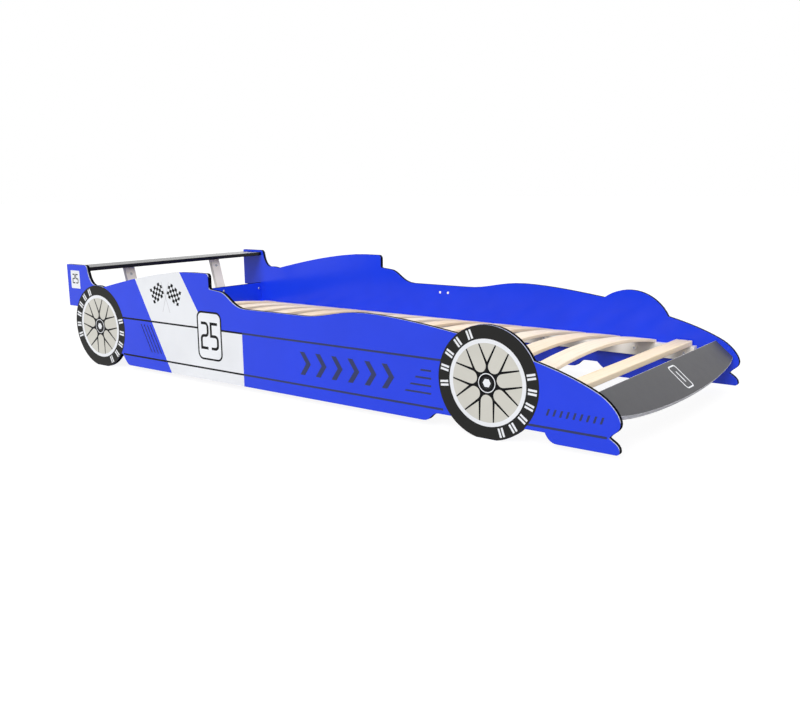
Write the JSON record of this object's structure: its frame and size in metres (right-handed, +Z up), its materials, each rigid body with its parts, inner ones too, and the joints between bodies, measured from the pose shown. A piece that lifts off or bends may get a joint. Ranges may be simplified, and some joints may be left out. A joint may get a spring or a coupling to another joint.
{
  "type": "car bed for children",
  "caption": "Child's bed shaped like a racing car: cut side panels with wheels, a wing, a sloping nose board and a base of bowed wooden slats.",
  "frame": {"origin": "on the floor, under the middle of the bed: midway between the rear ends of the side panels and the front of the bowed nose board, and midway between the side panels", "axes": "+X towards the nose, along the length; +Y towards the left side; +Z up"},
  "size_m": [2.3324, 0.945, 0.388],
  "materials": {
    "blue_board": "satin lacquered fibreboard, printed",
    "grey_board": "satin lacquered fibreboard",
    "black_board": "semi-gloss lacquered fibreboard",
    "white_board": "satin lacquered fibreboard",
    "white_rail": "white painted pine",
    "plain_wood": "planed pine",
    "slat_wood": "planed birch",
    "zinc_steel": "zinc plated",
    "white_plastic": "moulded"
  },
  "bodies": {
    "root": {"side_panel_right": "blue_board", "side_panel_left": "blue_board", "rear_panel": "blue_board", "nose_board": "grey_board", "wing_board": "black_board", "wing_strut_right": "white_board", "wing_strut_left": "white_board", "slat_rail_right": "white_rail", "slat_rail_left": "white_rail", "corner_batten_right": "plain_wood", "corner_batten_left": "plain_wood", "nose_batten_right": "plain_wood", "nose_batten_left": "plain_wood", "rear_bar": "slat_wood", "front_bar": "slat_wood", "slat_01": "slat_wood", "slat_02": "slat_wood", "slat_03": "slat_wood", "slat_04": "slat_wood", "slat_05": "slat_wood", "slat_06": "slat_wood", "slat_07": "slat_wood", "slat_08": "slat_wood", "slat_09": "slat_wood", "slat_10": "slat_wood", "slat_11": "slat_wood", "slat_12": "slat_wood", "slat_13": "slat_wood", "slat_14": "slat_wood", "slat_pegs": "slat_wood", "rail_screws": "zinc_steel", "rail_washers": "white_plastic", "bar_screws": "zinc_steel", "rear_panel_screws": "zinc_steel", "batten_screws": "zinc_steel", "nose_screws": "zinc_steel", "strut_cams": "zinc_steel", "strut_pins": "zinc_steel", "wing_dowels": "plain_wood", "cover_caps": "white_plastic"}
  },
  "joints": []
}
